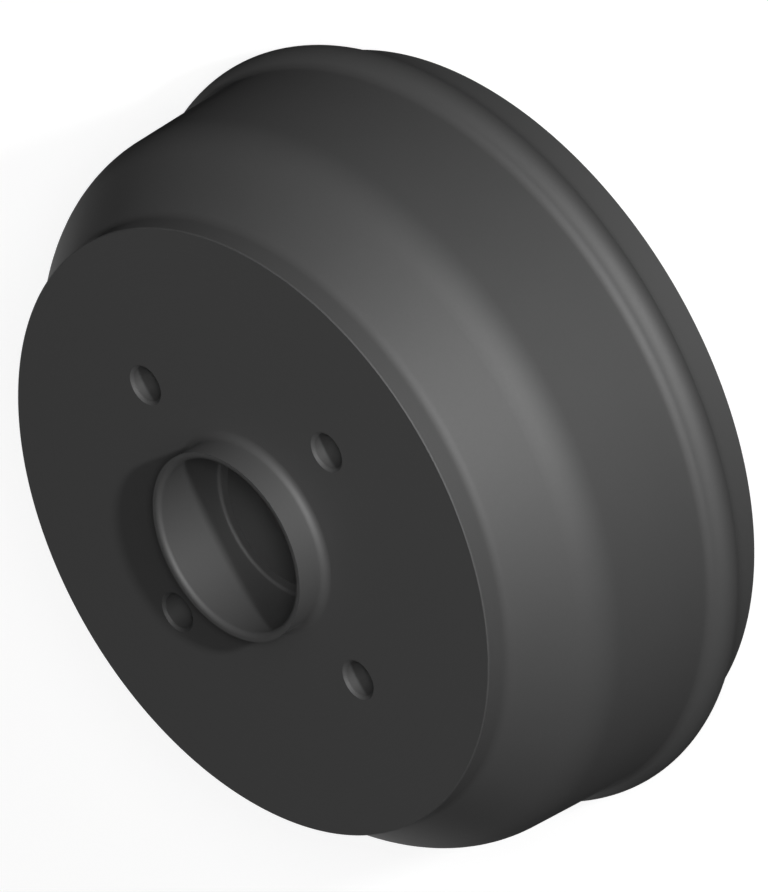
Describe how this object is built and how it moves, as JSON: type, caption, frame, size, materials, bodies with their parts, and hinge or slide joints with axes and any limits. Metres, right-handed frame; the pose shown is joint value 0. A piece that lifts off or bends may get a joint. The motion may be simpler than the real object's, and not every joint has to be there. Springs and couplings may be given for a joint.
{
  "type": "brake drum",
  "caption": "Cast iron brake drum with integral hub: flat wheel face, bolt holes, centring spigot, sloped shoulder, stiffening bead and thin open lip.",
  "frame": {"origin": "on the axle line, in the plane of the open rim that the drum stands on", "axes": "+Z along the axle line, out through the hub's nose, square to the wheel face; +X through one wheel bolt hole"},
  "size_m": [0.2256, 0.2256, 0.0985],
  "materials": {
    "coated_cast_iron": "matt dark grey coat over a cast and turned surface"
  },
  "bodies": {
    "root": {"brake_drum": "coated_cast_iron"}
  },
  "joints": []
}
